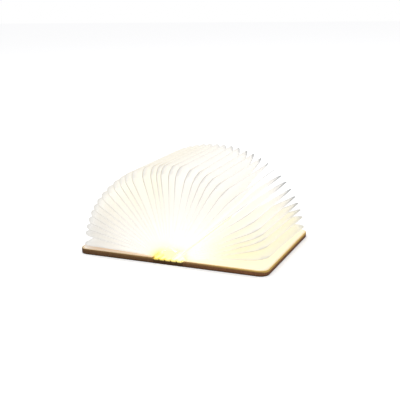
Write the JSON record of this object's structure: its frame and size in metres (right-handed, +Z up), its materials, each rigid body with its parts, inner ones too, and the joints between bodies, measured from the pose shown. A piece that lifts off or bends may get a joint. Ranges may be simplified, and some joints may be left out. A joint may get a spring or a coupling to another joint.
{
  "type": "folding book lamp",
  "caption": "Book-shaped lamp whose wooden covers fold open on a slatted living-hinge spine to fan out paper leaves round a light bar.",
  "frame": {"origin": "under the middle of the spine, on the surface that the open covers lie on", "axes": "+X across the open book towards the right cover, +Y along the spine away from the viewer, +Z up"},
  "size_m": [0.1832, 0.122, 0.0869],
  "materials": {
    "wood": "satin, pale wood veneer with dark laser-cut edges",
    "leaf_paper": "matt, tear-proof spun-fibre paper",
    "endpaper": "matt",
    "bar_plastic": "fine matt",
    "diffuser": "milky, lit from behind",
    "circuit_board": "solder-resist",
    "led_chip": "clear over phosphor",
    "battery_foil": "laminated foil pouch",
    "black_plastic": "moulded",
    "socket_steel": "stamped",
    "magnet": "nickel plated"
  },
  "bodies": {
    "spine": {"spine_centre_slat": "wood", "bar_housing": "bar_plastic", "bar_diffuser": "diffuser", "end_cap_front": "bar_plastic", "end_cap_rear": "bar_plastic", "led_board": "circuit_board", "led_chips": "led_chip", "battery": "battery_foil", "control_board": "circuit_board", "hall_switch": "black_plastic", "usb_socket": "socket_steel"},
    "cover_right": {"cover_right": "wood", "endpaper_right": "endpaper", "closing_magnets_right": "magnet", "trigger_magnet": "magnet"},
    "spine_slat_right_1": {"spine_slat_right_1": "wood", "leaf_right_11": "leaf_paper"},
    "spine_slat_right_2": {"spine_slat_right_2": "wood", "leaf_right_06": "leaf_paper"},
    "leaf_right_01": {"leaf_right_01": "leaf_paper"},
    "leaf_right_02": {"leaf_right_02": "leaf_paper"},
    "leaf_right_03": {"leaf_right_03": "leaf_paper"},
    "leaf_right_04": {"leaf_right_04": "leaf_paper"},
    "leaf_right_05": {"leaf_right_05": "leaf_paper"},
    "leaf_right_07": {"leaf_right_07": "leaf_paper"},
    "leaf_right_08": {"leaf_right_08": "leaf_paper"},
    "leaf_right_09": {"leaf_right_09": "leaf_paper"},
    "leaf_right_10": {"leaf_right_10": "leaf_paper"},
    "leaf_right_12": {"leaf_right_12": "leaf_paper"},
    "leaf_right_13": {"leaf_right_13": "leaf_paper"},
    "leaf_right_14": {"leaf_right_14": "leaf_paper"},
    "leaf_right_15": {"leaf_right_15": "leaf_paper"},
    "leaf_right_16": {"leaf_right_16": "leaf_paper"},
    "leaf_right_17": {"leaf_right_17": "leaf_paper"},
    "cover_left": {"cover_left": "wood", "endpaper_left": "endpaper", "closing_magnets_left": "magnet"},
    "spine_slat_left_1": {"spine_slat_left_1": "wood", "leaf_left_11": "leaf_paper"},
    "spine_slat_left_2": {"spine_slat_left_2": "wood", "leaf_left_06": "leaf_paper"},
    "leaf_left_01": {"leaf_left_01": "leaf_paper"},
    "leaf_left_02": {"leaf_left_02": "leaf_paper"},
    "leaf_left_03": {"leaf_left_03": "leaf_paper"},
    "leaf_left_04": {"leaf_left_04": "leaf_paper"},
    "leaf_left_05": {"leaf_left_05": "leaf_paper"},
    "leaf_left_07": {"leaf_left_07": "leaf_paper"},
    "leaf_left_08": {"leaf_left_08": "leaf_paper"},
    "leaf_left_09": {"leaf_left_09": "leaf_paper"},
    "leaf_left_10": {"leaf_left_10": "leaf_paper"},
    "leaf_left_12": {"leaf_left_12": "leaf_paper"},
    "leaf_left_13": {"leaf_left_13": "leaf_paper"},
    "leaf_left_14": {"leaf_left_14": "leaf_paper"},
    "leaf_left_15": {"leaf_left_15": "leaf_paper"},
    "leaf_left_16": {"leaf_left_16": "leaf_paper"},
    "leaf_left_17": {"leaf_left_17": "leaf_paper"}
  },
  "joints": [
    {"name": "right_fold", "type": "hinge", "parent": "spine", "child": "spine_slat_right_1", "pos_m": [0.0029, 0, 0.0025], "axis": [0, -1, 0], "range_deg": [-31.67, 30]},
    {"name": "right_fold_line_2", "type": "hinge", "parent": "spine_slat_right_1", "child": "spine_slat_right_2", "pos_m": [0.0085, 0, 0.0025], "axis": [0, -1, 0], "range_deg": [-31.67, 30]},
    {"name": "right_fold_line_3", "type": "hinge", "parent": "spine_slat_right_2", "child": "cover_right", "pos_m": [0.0141, 0, 0.0025], "axis": [0, -1, 0], "range_deg": [-31.67, 30]},
    {"name": "right_leaf_turn_01", "type": "hinge", "parent": "cover_right", "child": "leaf_right_01", "pos_m": [0.0149, 0, 0.0021], "axis": [0, -1, 0], "range_deg": [-5.02, 5.29]},
    {"name": "right_leaf_turn_02", "type": "hinge", "parent": "cover_right", "child": "leaf_right_02", "pos_m": [0.01482, 0, 0.00218], "axis": [0, -1, 0], "range_deg": [-10.01, 10.57]},
    {"name": "right_leaf_turn_03", "type": "hinge", "parent": "cover_right", "child": "leaf_right_03", "pos_m": [0.01469, 0, 0.00226], "axis": [0, -1, 0], "range_deg": [-15.01, 15.85]},
    {"name": "right_leaf_turn_04", "type": "hinge", "parent": "cover_right", "child": "leaf_right_04", "pos_m": [0.01453, 0, 0.00234], "axis": [0, -1, 0], "range_deg": [-20.02, 21.13]},
    {"name": "right_leaf_turn_05", "type": "hinge", "parent": "cover_right", "child": "leaf_right_05", "pos_m": [0.01433, 0, 0.00242], "axis": [0, -1, 0], "range_deg": [-25.01, 26.41]},
    {"name": "right_leaf_turn_07", "type": "hinge", "parent": "spine_slat_right_1", "child": "leaf_right_07", "pos_m": [0.00809, 0, 0.00259], "axis": [0, -1, 0], "range_deg": [-25.35, 24.01]},
    {"name": "right_leaf_turn_08", "type": "hinge", "parent": "spine_slat_right_1", "child": "leaf_right_08", "pos_m": [0.00767, 0, 0.00265], "axis": [0, -1, 0], "range_deg": [-19.02, 18.01]},
    {"name": "right_leaf_turn_09", "type": "hinge", "parent": "spine_slat_right_1", "child": "leaf_right_09", "pos_m": [0.00722, 0, 0.0027], "axis": [0, -1, 0], "range_deg": [-12.68, 12.01]},
    {"name": "right_leaf_turn_10", "type": "hinge", "parent": "spine_slat_right_1", "child": "leaf_right_10", "pos_m": [0.00674, 0, 0.00272], "axis": [0, -1, 0], "range_deg": [-6.35, 6.01]},
    {"name": "right_leaf_turn_12", "type": "hinge", "parent": "spine", "child": "leaf_right_12", "pos_m": [0.00249, 0, 0.00252], "axis": [0, -1, 0], "range_deg": [-26.81, 25.4]},
    {"name": "right_leaf_turn_13", "type": "hinge", "parent": "spine", "child": "leaf_right_13", "pos_m": [0.00209, 0, 0.00252], "axis": [0, -1, 0], "range_deg": [-21.94, 20.78]},
    {"name": "right_leaf_turn_14", "type": "hinge", "parent": "spine", "child": "leaf_right_14", "pos_m": [0.00168, 0, 0.00249], "axis": [0, -1, 0], "range_deg": [-17.07, 16.17]},
    {"name": "right_leaf_turn_15", "type": "hinge", "parent": "spine", "child": "leaf_right_15", "pos_m": [0.00126, 0, 0.00244], "axis": [0, -1, 0], "range_deg": [-12.2, 11.55]},
    {"name": "right_leaf_turn_16", "type": "hinge", "parent": "spine", "child": "leaf_right_16", "pos_m": [0.00084, 0, 0.00236], "axis": [0, -1, 0], "range_deg": [-7.32, 6.94]},
    {"name": "right_leaf_turn_17", "type": "hinge", "parent": "spine", "child": "leaf_right_17", "pos_m": [0.00041, 0, 0.00227], "axis": [0, -1, 0], "range_deg": [-2.45, 2.32]},
    {"name": "left_fold", "type": "hinge", "parent": "spine", "child": "spine_slat_left_1", "pos_m": [-0.0029, 0, 0.0025], "axis": [0, 1, 0], "range_deg": [-31.67, 30]},
    {"name": "left_fold_line_2", "type": "hinge", "parent": "spine_slat_left_1", "child": "spine_slat_left_2", "pos_m": [-0.0085, 0, 0.0025], "axis": [0, 1, 0], "range_deg": [-31.67, 30]},
    {"name": "left_fold_line_3", "type": "hinge", "parent": "spine_slat_left_2", "child": "cover_left", "pos_m": [-0.0141, 0, 0.0025], "axis": [0, 1, 0], "range_deg": [-31.67, 30]},
    {"name": "left_leaf_turn_01", "type": "hinge", "parent": "cover_left", "child": "leaf_left_01", "pos_m": [-0.0149, 0, 0.0021], "axis": [0, 1, 0], "range_deg": [-5.02, 5.29]},
    {"name": "left_leaf_turn_02", "type": "hinge", "parent": "cover_left", "child": "leaf_left_02", "pos_m": [-0.01482, 0, 0.00218], "axis": [0, 1, 0], "range_deg": [-10.01, 10.57]},
    {"name": "left_leaf_turn_03", "type": "hinge", "parent": "cover_left", "child": "leaf_left_03", "pos_m": [-0.01469, 0, 0.00226], "axis": [0, 1, 0], "range_deg": [-15.01, 15.85]},
    {"name": "left_leaf_turn_04", "type": "hinge", "parent": "cover_left", "child": "leaf_left_04", "pos_m": [-0.01453, 0, 0.00234], "axis": [0, 1, 0], "range_deg": [-20.02, 21.13]},
    {"name": "left_leaf_turn_05", "type": "hinge", "parent": "cover_left", "child": "leaf_left_05", "pos_m": [-0.01433, 0, 0.00242], "axis": [0, 1, 0], "range_deg": [-25.01, 26.41]},
    {"name": "left_leaf_turn_07", "type": "hinge", "parent": "spine_slat_left_1", "child": "leaf_left_07", "pos_m": [-0.00809, 0, 0.00259], "axis": [0, 1, 0], "range_deg": [-25.35, 24.01]},
    {"name": "left_leaf_turn_08", "type": "hinge", "parent": "spine_slat_left_1", "child": "leaf_left_08", "pos_m": [-0.00767, 0, 0.00265], "axis": [0, 1, 0], "range_deg": [-19.02, 18.01]},
    {"name": "left_leaf_turn_09", "type": "hinge", "parent": "spine_slat_left_1", "child": "leaf_left_09", "pos_m": [-0.00722, 0, 0.0027], "axis": [0, 1, 0], "range_deg": [-12.68, 12.01]},
    {"name": "left_leaf_turn_10", "type": "hinge", "parent": "spine_slat_left_1", "child": "leaf_left_10", "pos_m": [-0.00674, 0, 0.00272], "axis": [0, 1, 0], "range_deg": [-6.35, 6.01]},
    {"name": "left_leaf_turn_12", "type": "hinge", "parent": "spine", "child": "leaf_left_12", "pos_m": [-0.00249, 0, 0.00252], "axis": [0, 1, 0], "range_deg": [-26.81, 25.4]},
    {"name": "left_leaf_turn_13", "type": "hinge", "parent": "spine", "child": "leaf_left_13", "pos_m": [-0.00209, 0, 0.00252], "axis": [0, 1, 0], "range_deg": [-21.94, 20.78]},
    {"name": "left_leaf_turn_14", "type": "hinge", "parent": "spine", "child": "leaf_left_14", "pos_m": [-0.00168, 0, 0.00249], "axis": [0, 1, 0], "range_deg": [-17.07, 16.17]},
    {"name": "left_leaf_turn_15", "type": "hinge", "parent": "spine", "child": "leaf_left_15", "pos_m": [-0.00126, 0, 0.00244], "axis": [0, 1, 0], "range_deg": [-12.2, 11.55]},
    {"name": "left_leaf_turn_16", "type": "hinge", "parent": "spine", "child": "leaf_left_16", "pos_m": [-0.00084, 0, 0.00236], "axis": [0, 1, 0], "range_deg": [-7.32, 6.94]},
    {"name": "left_leaf_turn_17", "type": "hinge", "parent": "spine", "child": "leaf_left_17", "pos_m": [-0.00041, 0, 0.00227], "axis": [0, 1, 0], "range_deg": [-2.45, 2.32]}
  ],
  "couplings": [
    {"joint": "right_fold_line_2", "follows": "right_fold", "ratio": 1},
    {"joint": "right_fold_line_3", "follows": "right_fold", "ratio": 1},
    {"joint": "right_leaf_turn_01", "follows": "right_fold", "ratio": -0.16667},
    {"joint": "right_leaf_turn_02", "follows": "right_fold", "ratio": -0.33333},
    {"joint": "right_leaf_turn_03", "follows": "right_fold", "ratio": -0.5},
    {"joint": "right_leaf_turn_04", "follows": "right_fold", "ratio": -0.66667},
    {"joint": "right_leaf_turn_05", "follows": "right_fold", "ratio": -0.83333},
    {"joint": "right_leaf_turn_07", "follows": "right_fold", "ratio": 0.8},
    {"joint": "right_leaf_turn_08", "follows": "right_fold", "ratio": 0.6},
    {"joint": "right_leaf_turn_09", "follows": "right_fold", "ratio": 0.4},
    {"joint": "right_leaf_turn_10", "follows": "right_fold", "ratio": 0.2},
    {"joint": "right_leaf_turn_12", "follows": "right_fold", "ratio": 0.84615},
    {"joint": "right_leaf_turn_13", "follows": "right_fold", "ratio": 0.69231},
    {"joint": "right_leaf_turn_14", "follows": "right_fold", "ratio": 0.53846},
    {"joint": "right_leaf_turn_15", "follows": "right_fold", "ratio": 0.38462},
    {"joint": "right_leaf_turn_16", "follows": "right_fold", "ratio": 0.23077},
    {"joint": "right_leaf_turn_17", "follows": "right_fold", "ratio": 0.07692},
    {"joint": "left_fold_line_2", "follows": "left_fold", "ratio": 1},
    {"joint": "left_fold_line_3", "follows": "left_fold", "ratio": 1},
    {"joint": "left_leaf_turn_01", "follows": "left_fold", "ratio": -0.16667},
    {"joint": "left_leaf_turn_02", "follows": "left_fold", "ratio": -0.33333},
    {"joint": "left_leaf_turn_03", "follows": "left_fold", "ratio": -0.5},
    {"joint": "left_leaf_turn_04", "follows": "left_fold", "ratio": -0.66667},
    {"joint": "left_leaf_turn_05", "follows": "left_fold", "ratio": -0.83333},
    {"joint": "left_leaf_turn_07", "follows": "left_fold", "ratio": 0.8},
    {"joint": "left_leaf_turn_08", "follows": "left_fold", "ratio": 0.6},
    {"joint": "left_leaf_turn_09", "follows": "left_fold", "ratio": 0.4},
    {"joint": "left_leaf_turn_10", "follows": "left_fold", "ratio": 0.2},
    {"joint": "left_leaf_turn_12", "follows": "left_fold", "ratio": 0.84615},
    {"joint": "left_leaf_turn_13", "follows": "left_fold", "ratio": 0.69231},
    {"joint": "left_leaf_turn_14", "follows": "left_fold", "ratio": 0.53846},
    {"joint": "left_leaf_turn_15", "follows": "left_fold", "ratio": 0.38462},
    {"joint": "left_leaf_turn_16", "follows": "left_fold", "ratio": 0.23077},
    {"joint": "left_leaf_turn_17", "follows": "left_fold", "ratio": 0.07692}
  ]
}
